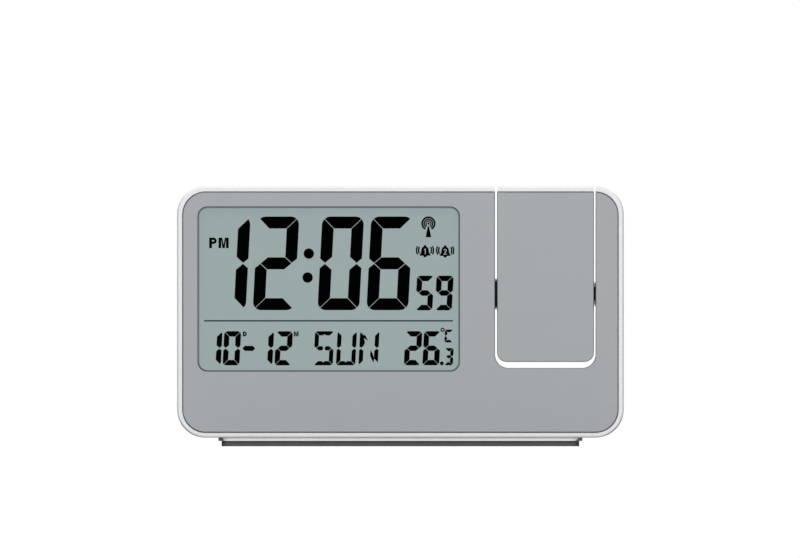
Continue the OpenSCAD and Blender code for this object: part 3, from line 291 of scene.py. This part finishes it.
def weekday(text, left, bottom, pitch, style):
    """Slanted letters in cells whose bars are notched and whose middle bar is split in two."""
    width, height, stroke = style["width"], style["height"], style["stroke"]
    made = []
    for i, sign in enumerate(text):
        segments = cell(**style)
        segments["a"] = notched(segments["a"], width, height - stroke, NOTCH_DEPTH)
        segments["d"] = notched(segments["d"], width, stroke, -NOTCH_DEPTH)
        lit = [segments[s] for s in SEGMENTS_ON[sign] if s != "g"]
        if "g" in SEGMENTS_ON[sign]:
            half = split_bar(segments["g"], width, height)
            lit += [half, flipped(half, u_sum=width)]
        if sign == "N":
            leg = [Vector(p) for p in N_LEG]
            lit += [leg, flipped(leg, u_sum=width, v_sum=height)]
        made += placed(lit, left + i * pitch, bottom)
    return made


def right_half(centre, radius):
    """Right half of a circle, from its lowest point to its highest."""
    return arc(centre, radius, -90, 90, 10)


def letter_p(size, stroke):
    """Bold P: its outer outline and its hole."""
    width, bowl = 0.72 * size, 0.3 * size
    centre, inner = (width - bowl, size - bowl), bowl - 0.86 * stroke
    outer = [Vector(p) for p in ((0, 0), (stroke, 0), (stroke, size - 2 * bowl))]
    outer += right_half(centre, bowl) + [Vector((0, size))]
    hole = [Vector((stroke, centre[1] - inner))]
    hole += right_half(centre, inner) + [Vector((stroke, centre[1] + inner))]
    return [outer, hole]


def letter_d(size, stroke):
    """Bold D: its outer outline and its hole."""
    width, bowl = 0.82 * size, size / 2
    centre = (width - bowl, bowl)
    outer = [Vector((0, 0))] + right_half(centre, bowl) + [Vector((0, size))]
    hole = [Vector((stroke, stroke))] + right_half(centre, bowl - stroke)
    hole.append(Vector((stroke, size - stroke)))
    return [outer, hole]


def letter_m(size, stroke):
    """Bold M, its left half drawn and its right half mirrored."""
    width, valley, inner_top = 0.97 * size, 0.36 * size, 0.8 * size
    shoulder, point = 1.35 * stroke, 0.42 * stroke
    left = [(0, 0), (0, size), (shoulder, size), (width / 2, valley)]
    inner = [(stroke, 0), (stroke, inner_top), (width / 2 - point, 0)]
    outline = [Vector(p) for p in left] + [Vector((width - x, y)) for x, y in reversed(left[:3])]
    outline += [Vector((width - x, y)) for x, y in inner] + [Vector(p) for p in reversed(inner)]
    return [outline]


def ring(centre, radius, width, opening):
    """Ring of this mid-line radius with an opening of that half-angle at its bottom."""
    return ribbon(arc(centre, radius, -90 + opening, 270 - opening, 28), width)


def tower_icon(centre):
    """Radio mast with three rings."""
    x, y = centre
    made = [ring(centre, radius, width, TOWER_OPENING) for radius, width in TOWER_RINGS]
    made.append(disc(centre, TOWER_DOT, 16))
    made.append([Vector((x + u, y + v)) for u, v in TOWER_MAST])
    return made


def bell_icon(centre, number):
    """Ringing bell with a number cut out of it; centre is the middle of its mouth."""
    x, y = centre
    outline = [Vector(p) for p in BELL_SIDE] + arc(KNOB_AT, KNOB_RADIUS, -10, 190)
    outline += [Vector((-u, v)) for u, v in reversed(BELL_SIDE)]
    outline.append(Vector((-MOUTH_END, CLAPPER_AT[1])))
    outline += arc(CLAPPER_AT, CLAPPER_RADIUS, 200, 340, 6)
    outline.append(Vector((MOUTH_END, CLAPPER_AT[1])))
    made = [outline, ribbon(BELL_NUMBERS[number], NUMBER_STROKE)]
    for reach, half_angle in BELL_WAVES:
        for turn in (0, 180):
            wave = arc(WAVES_AT, reach, turn - half_angle, turn + half_angle)
            made.append(ribbon(wave, WAVE_STROKE))
    return [[Vector((x + p.x, y + p.y)) for p in o] for o in made]


# ---------------------------------------------------------------- pieces

def mesh_piece(name, mesh, body, material):
    """Puts a mesh in the scene as a piece that rides on a body."""
    piece = bpy.data.objects.new(name, mesh)
    bpy.context.scene.collection.objects.link(piece)
    mesh.materials.clear()
    mesh.materials.append(material)
    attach(piece, body)


def flat_mesh(name, outlines, origin, thickness, facing=1):
    """Closed sheet from outlines in millimetres, an outline inside another being a hole. It
    stands on the plane y = origin.y and rises towards -Y, or towards +Y with facing -1."""
    curve = bpy.data.curves.new(name, "CURVE")
    curve.dimensions = "2D"
    curve.fill_mode = "BOTH"
    curve.extrude = thickness / 2
    for outline in outlines:
        spline = curve.splines.new("POLY")
        spline.points.add(len(outline) - 1)
        for point, p in zip(spline.points, outline):
            point.co = (p[0], p[1], 0, 1)
        spline.use_cyclic_u = True
    drawn = bpy.data.objects.new(name + "_curve", curve)
    bpy.context.scene.collection.objects.link(drawn)
    depsgraph = bpy.context.evaluated_depsgraph_get()
    mesh = bpy.data.meshes.new_from_object(drawn.evaluated_get(depsgraph))
    bpy.data.objects.remove(drawn)
    work = bmesh.new()
    work.from_mesh(mesh)
    bmesh.ops.remove_doubles(work, verts=work.verts, dist=SAME_POINT_MM)
    for vert in work.verts:
        u, v, w = vert.co
        depth = (w + thickness / 2) * MM
        vert.co = (origin[0] + facing * u * MM, origin[1] - facing * depth, origin[2] + v * MM)
    bmesh.ops.recalc_face_normals(work, faces=work.faces)
    work.to_mesh(mesh)
    work.free()
    mesh.name = name
    return mesh


# ---------------------------------------------------------------- materials

def new_material(name):
    """A new material, its node tree and its shader."""
    material = bpy.data.materials.new(name)
    material.use_nodes = True
    return material, material.node_tree, material.node_tree.nodes["Principled BSDF"]


def noise(tree, size_mm, detail):
    """Noise in the object's own coordinates, its features about this size."""
    where = tree.nodes.new("ShaderNodeTexCoord")
    made = tree.nodes.new("ShaderNodeTexNoise")
    made.inputs["Scale"].default_value = 1 / (size_mm * MM)
    made.inputs["Detail"].default_value = detail
    tree.links.new(where.outputs["Object"], made.inputs["Vector"])
    return made.outputs["Fac"]


def mapped(tree, value, source, target=(0, 1), kind="LINEAR"):
    """The value taken from one range to another, and held at their ends."""
    made = tree.nodes.new("ShaderNodeMapRange")
    made.interpolation_type = kind
    for name, end in zip(("From Min", "From Max", "To Min", "To Max"), (*source, *target)):
        made.inputs[name].default_value = end
    tree.links.new(value, made.inputs["Value"])
    return made.outputs["Result"]


def smooth_step(tree, value, ends):
    """0 up to the first of these ends, 1 from the second on."""
    return mapped(tree, value, ends, kind="SMOOTHSTEP")


def maths(tree, operation, *values):
    """Result of a Math node; each value is a number or the output of another node."""
    made = tree.nodes.new("ShaderNodeMath")
    made.operation = operation
    for socket, value in zip(made.inputs, values):
        if isinstance(value, (int, float)):
            socket.default_value = value
        else:
            tree.links.new(value, socket)
    return made.outputs[0]


def colour_mix(tree, factor, second, blend="MIX"):
    """Mix node with its factor and second colour set."""
    made = tree.nodes.new("ShaderNodeMix")
    made.data_type = "RGBA"
    made.blend_type = blend
    made.inputs[MIX_SECOND].default_value = (*second, 1)
    tree.links.new(factor, made.inputs[MIX_FACTOR])
    return made


def moulded(name, colour, roughness, grain_mm=0.25, depth_mm=0.006, mottle=0.015, **sockets):
    """Moulded or painted surface: fine grain, slight mottling and uneven gloss."""
    material, tree, shader = new_material(name)
    coarse = mapped(tree, noise(tree, MOTTLE_MM, MOTTLE_DETAIL), NOISE_MIDDLE)
    mottled = colour_mix(tree, coarse, [min(c * (1 + mottle), 1) for c in colour])
    mottled.inputs[MIX_FIRST].default_value = (*[c * (1 - mottle) for c in colour], 1)
    tree.links.new(mottled.outputs[MIX_RESULT], shader.inputs["Base Color"])
    fine = noise(tree, grain_mm, GRAIN_DETAIL)
    gloss = mapped(tree, fine, NOISE_MIDDLE, (roughness - GLOSS_SWING, roughness + GLOSS_SWING))
    tree.links.new(gloss, shader.inputs["Roughness"])
    bump = tree.nodes.new("ShaderNodeBump")
    bump.inputs["Strength"].default_value = GRAIN_STRENGTH
    bump.inputs["Distance"].default_value = depth_mm * MM
    tree.links.new(fine, bump.inputs["Height"])
    tree.links.new(bump.outputs["Normal"], shader.inputs["Normal"])
    for socket, value in sockets.items():
        shader.inputs[socket.replace("_", " ")].default_value = value
    return material


def surface_direction(tree):
    """How far the surface faces sideways, either way, then forwards and down."""
    where = tree.nodes.new("ShaderNodeTexCoord")
    parts = tree.nodes.new("ShaderNodeSeparateXYZ")
    tree.links.new(where.outputs["Normal"], parts.inputs[0])
    return (maths(tree, "ABSOLUTE", parts.outputs["X"]),
        maths(tree, "MULTIPLY", parts.outputs["Y"], -1),
        maths(tree, "MULTIPLY", parts.outputs["Z"], -1))


def dimmed(material, amount, factor):
    """Paints shade: multiplies the colour by the factor where the amount is 1."""
    tree = material.node_tree
    base = tree.nodes["Principled BSDF"].inputs["Base Color"]
    mix = colour_mix(tree, amount, (factor, factor, factor), "MULTIPLY")
    tree.links.new(base.links[0].from_socket, mix.inputs[MIX_FIRST])
    tree.links.new(mix.outputs[MIX_RESULT], base)
    return material


def edge_painted_shade(material, edge_factor, corner_factor):
    """Paints shade on the cut edges of a flat sheet, and more painted shade round its corners."""
    tree = material.node_tree
    sideways, forwards, down = surface_direction(tree)
    flat = smooth_step(tree, maths(tree, "ABSOLUTE", forwards), FLAT_FACE)
    slanting = maths(tree, "ABSOLUTE", maths(tree, "MULTIPLY", sideways, down))
    dimmed(material, maths(tree, "SUBTRACT", 1, flat), edge_factor)
    return dimmed(material, smooth_step(tree, slanting, SHEET_CORNER), corner_factor)


def rim_painted_shade(material, factor, turned_ends, low_edge=None, low_corners=None):
    """Paints shade on the outer part of a front rounding where it looks sideways or down, from the
    first of turned_ends to the second, and paints more shade by two more factors on its lower edge
    and its two lower corners. Flat walls keep their colour."""
    tree = material.node_tree
    sideways, forwards, down = surface_direction(tree)
    rounding = smooth_step(tree, forwards, ROUNDING)
    outwards = maths(tree, "MULTIPLY_ADD", down, DOWN_AS_SIDEWAYS, sideways)
    steps = [(outwards, turned_ends, factor)]
    if low_edge:
        steps.append((down, LOW_EDGE, low_edge))
    if low_corners:
        steps.append((maths(tree, "MULTIPLY", sideways, down), LOW_CORNER, low_corners))
    for value, ends, darker in steps:
        amount = maths(tree, "MULTIPLY", smooth_step(tree, value, ends), rounding)
        dimmed(material, amount, darker)
    return material


def painted_glow(material, colour, strength):
    """Adds an even glow to a surface that is no lamp: painted light that keeps the display ground
    evenly bright in its recess.
    """
    shader = material.node_tree.nodes["Principled BSDF"]
    shader.inputs["Emission Color"].default_value = (*colour, 1)
    shader.inputs["Emission Strength"].default_value = strength
    return material


def clear_sheet(name, tint):
    """Thin clear sheet, coated: seen squarely it reflects nothing, and more the more it slants."""
    material, tree, shader = new_material(name)
    tree.nodes.remove(shader)
    through = tree.nodes.new("ShaderNodeBsdfTransparent")
    through.inputs["Color"].default_value = (*tint, 1)
    gloss = tree.nodes.new("ShaderNodeBsdfGlossy")
    gloss.inputs["Roughness"].default_value = PANE_ROUGHNESS
    slant = tree.nodes.new("ShaderNodeLayerWeight")
    slant.inputs["Blend"].default_value = EVEN_BLEND
    mix = tree.nodes.new("ShaderNodeMixShader")
    tree.links.new(maths(tree, "POWER", slant.outputs["Facing"], GLOSS_POWER), mix.inputs[0])
    tree.links.new(through.outputs["BSDF"], mix.inputs[1])
    tree.links.new(gloss.outputs["BSDF"], mix.inputs[2])
    tree.links.new(mix.outputs["Shader"], tree.nodes["Material Output"].inputs["Surface"])
    return material


def lens_glass(name):
    """Polished clear glass with a faint blue tint."""
    material, _, shader = new_material(name)
    shader.inputs["Base Color"].default_value = (0.93, 0.97, 1, 1)
    shader.inputs["Roughness"].default_value = 0.02
    shader.inputs["IOR"].default_value = 1.5
    shader.inputs["Transmission Weight"].default_value = 1.0
    return material


def ink(name, colour):
    """Dull print on the display."""
    return moulded(name, linear(*colour), 0.7, grain_mm=0.1, depth_mm=0.0005,
        Specular_IOR_Level=0.0)


def finishes():
    """One material for each of the record's slots."""
    shell = moulded("white_shell", linear(226, 227, 228), 0.36,
        grain_mm=0.35, depth_mm=0.004, mottle=0.008)
    panel = moulded("grey_panel", linear(158, 162, 165), 0.5,
        grain_mm=0.12, depth_mm=0.004, mottle=0.006)
    ground = moulded("display_ground", linear(64, 71, 71), 0.6,
        grain_mm=0.08, depth_mm=0.001, mottle=0.006, Specular_IOR_Level=0.0)
    foot = moulded("foot_plate", linear(236, 237, 238), 0.28, grain_mm=0.4, depth_mm=0.003)
    rubber = moulded("rubber", linear(86, 86, 86), 0.75,
        grain_mm=0.3, depth_mm=0.02, mottle=0.08)
    return {
        # Painted shade: the shell's front rounding darker at its sides, its lower edge and its
        # lower corners
        "case_white": rim_painted_shade(shell, 0.72, (0.2, 0.5), low_edge=0.6, low_corners=0.22),
        # Painted shade: the panel's cut edges and corners darker
        "panel_grey": edge_painted_shade(panel, 0.52, 0.26),
        "window_clear": clear_sheet("window_pane", (0.99, 0.995, 0.995)),
        "gasket_black": moulded("gasket", linear(98, 105, 107), 0.6, grain_mm=0.2),
        # Painted light: the display ground glows evenly, though it is no lamp
        "lcd": painted_glow(ground, linear(156, 170, 169), 0.85),
        "light_guide": moulded("light_guide", linear(236, 239, 238), 0.3),
        "inner_white": moulded("inner_white", linear(224, 226, 226), 0.5),
        "elastomer": moulded("elastomer", linear(201, 160, 168), 0.7),
        "circuit_board": moulded("solder_mask", linear(40, 104, 70), 0.35,
            grain_mm=0.6, depth_mm=0.01, mottle=0.06),
        "resin_black": moulded("resin", linear(26, 26, 28), 0.25),
        "steel": moulded("zinc_steel", linear(176, 179, 184), 0.32,
            grain_mm=0.3, depth_mm=0.005, mottle=0.04, Metallic=1.0),
        "black_plastic": moulded("black_plastic", linear(24, 24, 26), 0.45),
        "ferrite": moulded("ferrite", linear(58, 57, 60), 0.6,
            grain_mm=0.4, depth_mm=0.02, mottle=0.08),
        "copper_wire": moulded("copper_wire", linear(178, 106, 56), 0.35,
            grain_mm=0.3, depth_mm=0.02, mottle=0.05, Metallic=0.8),
        "cell_wrap": moulded("cell_wrap", linear(60, 106, 160), 0.25),
        # Painted shade: the rounded ends of the foot plate and of the rubber foot darker
        "foot_silver": rim_painted_shade(foot, 0.12, (0.42, 0.7)),
        "rubber_black": rim_painted_shade(rubber, 0.45, (0.55, 0.9)),
        "hinge_black": moulded("hinge_acetal", linear(20, 20, 22), 0.38),
        "wire_black": moulded("wire_sleeve", linear(48, 52, 58), 0.55),
        "key_white": moulded("white_key", linear(220, 222, 224), 0.34,
            grain_mm=0.35, depth_mm=0.004, mottle=0.008),
        "key_grey": moulded("grey_key", linear(196, 199, 202), 0.42,
            grain_mm=0.3, depth_mm=0.005, mottle=0.01),
        "lamp_clear": moulded("lamp_body", linear(240, 238, 216), 0.15),
        "lens_glass": lens_glass("lens_glass"),
        "small_lcd": moulded("small_display", linear(60, 66, 72), 0.2),
        "ring_black": moulded("focus_ring_black", linear(22, 22, 24), 0.4, grain_mm=0.2),
    }


def dress_cad_nodes():
    """Gives each CAD node the material of its slot in the record."""
    made = finishes()
    for part in frame["record"]["subparts"]:
        node = frame["nodes"][part["node"]]
        if not node.material_slots:
            node.data.materials.append(None)
        for material_slot in node.material_slots:
            material_slot.material = made[part["material_slot"]]


def soften(names, width_mm, steps):
    """Breaks the sharp edges of CAD nodes: one step cuts a flat chamfer, more round it."""
    for name in names:
        node = frame["nodes"][name]
        weld = node.modifiers.new("weld", "WELD")
        weld.merge_threshold = SAME_VERTEX
        bevel = node.modifiers.new("soft_edges", "BEVEL")
        bevel.width = width_mm * MM
        bevel.segments = steps
        bevel.limit_method = "ANGLE"
        bevel.angle_limit = SHARP_ANGLE
        bevel.harden_normals = True
        bevel.use_clamp_overlap = False
        bevel.loop_slide = False


# ---------------------------------------------------------------- display

def readout():
    """Everything that the display shows in black, in millimetres from the window's corner."""
    made = []
    for text, left in (("1", 1.99), ("2", 18.33), ("0", 40.06), ("6", 56.49)):
        made += digits(text, left, 20.48, 0, BIG)
    made += [disc(dot, COLON_RADIUS, 28) for dot in COLON_DOTS]
    made += digits("59", 72.88, 20.42, 6.54, SMALL)
    made += digits("10", 1.97, 1.97, 6.24, DATE)
    made += digits("12", 19.28, 1.95, 6.31, DATE)
    made += weekday("SUN", 38.68, 1.97, 7.56, LETTER)
    made += digits("26", 69.02, 1.98, 6.22, DATE)
    made += digits("3", 82.57, 1.98, 0, TENTH)
    made += digits("C", 82.63, 9.67, 0, UNIT)
    made.append(disc(POINT_AT, POINT_RADIUS, 16))
    made += [disc(DEGREE_AT, DEGREE_OUTER, 20), disc(DEGREE_AT, DEGREE_INNER, 16)]
    made.append([Vector((DASH_AT[0] + x, DASH_AT[1] + y)) for x, y in DASH])
    made += moved(letter_p(3.52, 0.96), (3.72, 41.3)) + moved(letter_m(3.52, 0.92), (6.87, 41.3))
    made += moved(letter_d(1.62, 0.48), (15.01, 11.7)) + moved(letter_m(1.62, 0.42), (32.15, 11.7))
    made += tower_icon((77.3, 49.56))
    made += bell_icon((76.16, 38.84), "1") + bell_icon((82.92, 38.76), "2")
    return made


def make_display():
    """The readout and its dividing line, as thin sheets on the face of the LCD glass."""
    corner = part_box("window_gasket")[0]
    origin = (corner.x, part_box("lcd_glass")[0].y, corner.z)
    sheets = {"display_segments": (readout(), ink("display_ink", (3, 3, 3))),
        "display_divider": ([[Vector(p) for p in DIVIDER]], ink("display_line", (52, 66, 66)))}
    for name, (outlines, material) in sheets.items():
        mesh_piece(name, flat_mesh(name, outlines, origin, INK_MM), "case", material)


# ---------------------------------------------------------------- marks on the back

def arrow_head(tip, base, half_width):
    """Triangle from the middle of its base to its tip."""
    tip, base = Vector(tip), Vector(base)
    along = (tip - base).normalized()
    across = Vector((-along.y, along.x)) * half_width
    return [tip, base + across, base - across]


def clock_mark():
    """Clock face with two hands."""
    rim = [disc((0, 0), radius, 24) for radius in (1.25, 1.0)]
    return rim + [ribbon([(0, 0.72), (0, 0), (0.5, -0.3)], HAND_STROKE)]


def bell_mark(number):
    """The display's bell, smaller."""
    return [[BELL_SIGN_SCALE * p for p in outline] for outline in bell_icon((0, -1.7), number)]


def turn_mark():
    """Two half turns, one after the other."""
    radius, start, end, head_length, head_half_width = 1.1, 25, 140, 0.85, 0.55
    made = []
    for side in (0, 180):
        turn = ribbon(arc((0, 0), radius, side + start, side + end, 12), SIGN_STROKE)
        a = math.radians(side + end)
        base = Vector((radius * math.cos(a), radius * math.sin(a)))
        ahead = Vector((-math.sin(a), math.cos(a)))
        made += [turn, arrow_head(base + head_length * ahead, base, head_half_width)]
    return made


def beam_mark():
    """Lamp with three rays."""
    lamp_x, lamp_radius, ray_ends = -0.9, 0.62, (1.0, 2.3)
    made = [disc((lamp_x, 0), lamp_radius, 20)]
    for angle in (-28, 0, 28):
        a = math.radians(angle)
        ray = [(lamp_x + r * math.cos(a), r * math.sin(a)) for r in ray_ends]
        made.append(ribbon(ray, SIGN_STROKE))
    return made


def make_marks():
    """Small printed signs over the keys, on the floor of their pocket."""
    grey = moulded("mark_grey", linear(120, 124, 127), 0.5)
    signs = {"mode_button": clock_mark(), "alarm_1_button": bell_mark("1"),
        "alarm_2_button": bell_mark("2"), "up_button": [arrow_head((0, 1), (0, -0.9), 1.1)],
        "down_button": [arrow_head((0, -1), (0, 0.9), 1.1)], "flip_button": turn_mark(),
        "switch_knob": beam_mark()}
    for key, outlines in signs.items():
        low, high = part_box(key)
        middle = (low.x + high.x) / 2
        if key == "switch_knob":
            middle += SWITCH_SIGN_SHIFT
        name = key + "_sign"
        origin = (middle, POCKET_FLOOR, high.z + SIGN_GAP)
        drawn = flat_mesh(name, outlines, origin, SIGN_MM, facing=-1)
        mesh_piece(name, drawn, "case", grey)


# ---------------------------------------------------------------- stage, light and camera

def make_stage():
    """Plain pale floor."""
    work = bmesh.new()
    bmesh.ops.create_grid(work, x_segments=4, y_segments=4, size=FLOOR_HALF)
    mesh = bpy.data.meshes.new("floor")
    work.to_mesh(mesh)
    work.free()
    floor = bpy.data.objects.new("floor", mesh)
    bpy.context.scene.collection.objects.link(floor)
    mesh.materials.append(moulded("floor_white", (FLOOR_GREY, FLOOR_GREY, FLOOR_GREY), 0.7,
        grain_mm=2.0, depth_mm=0.01, mottle=0.004))


def make_world():
    """White studio surround: brightest behind the clock and above it, darker to both sides."""
    world = bpy.data.worlds.new("studio")
    bpy.context.scene.world = world
    world.use_nodes = True
    tree = world.node_tree
    where = tree.nodes.new("ShaderNodeTexCoord")
    parts = tree.nodes.new("ShaderNodeSeparateXYZ")
    tree.links.new(where.outputs["Generated"], parts.inputs[0])
    x, y, z = parts.outputs

    x_squared = maths(tree, "MULTIPLY", x, x)
    above = maths(tree, "MULTIPLY_ADD", x_squared, -WORLD_SIDE_LOSS, WORLD_LEVEL)
    above = maths(tree, "MULTIPLY_ADD", y, WORLD_BACK_GAIN, above)
    above = maths(tree, "MULTIPLY_ADD", z, WORLD_TOP_GAIN, above)
    below = maths(tree, "MULTIPLY_ADD", y, WORLD_UNDER_BACK_GAIN, WORLD_UNDER_FLOOR)
    is_below = maths(tree, "LESS_THAN", z, UNDER_FLOOR_FROM)
    change = maths(tree, "SUBTRACT", below, above)
    background = tree.nodes["Background"]
    background.inputs["Color"].default_value = (1, 1, 1, 1)
    tree.links.new(maths(tree, "MULTIPLY_ADD", is_below, change, above),
        background.inputs["Strength"])


def make_lamps():
    """Large soft lamps in front of the clock, turned to its middle."""
    for name, (place, size, power) in LAMPS.items():
        light = bpy.data.lights.new(name, "AREA")
        light.size = size
        light.energy = power
        lamp = bpy.data.objects.new(name, light)
        bpy.context.scene.collection.objects.link(lamp)
        lamp.location = place
        lamp.rotation_euler = (LAMP_TARGET - Vector(place)).to_track_quat("-Z", "Y").to_euler()


def make_camera():
    """Straight-on parallel view that frames the case as the picture does."""
    low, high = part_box("front_shell")
    size = (high.x - low.x) / (CASE_SIDES_PX[1] - CASE_SIDES_PX[0])
    middle_px = sum(CASE_SIDES_PX) / 2
    camera = bpy.data.cameras.new("camera")
    camera.type = "ORTHO"
    camera.ortho_scale = PICTURE_W * size
    holder = bpy.data.objects.new("camera", camera)
    bpy.context.scene.collection.objects.link(holder)
    holder.location = ((PICTURE_W / 2 - middle_px) * size, CAMERA_Y,
        (TABLE_PX - PICTURE_H / 2) * size)
    holder.rotation_euler = (math.pi / 2, 0, 0)
    bpy.context.scene.camera = holder


dress_cad_nodes()
soften(("front_panel", "arm_front_plate"), width_mm=0.33, steps=1)
soften(("battery_door", "foot_plate", "rubber_foot", "switch_knob", "focus_ring"),
    width_mm=0.15, steps=3)
make_display()
make_marks()
make_stage()
make_world()
make_lamps()
make_camera()
bpy.context.scene.view_settings.view_transform = "Standard"
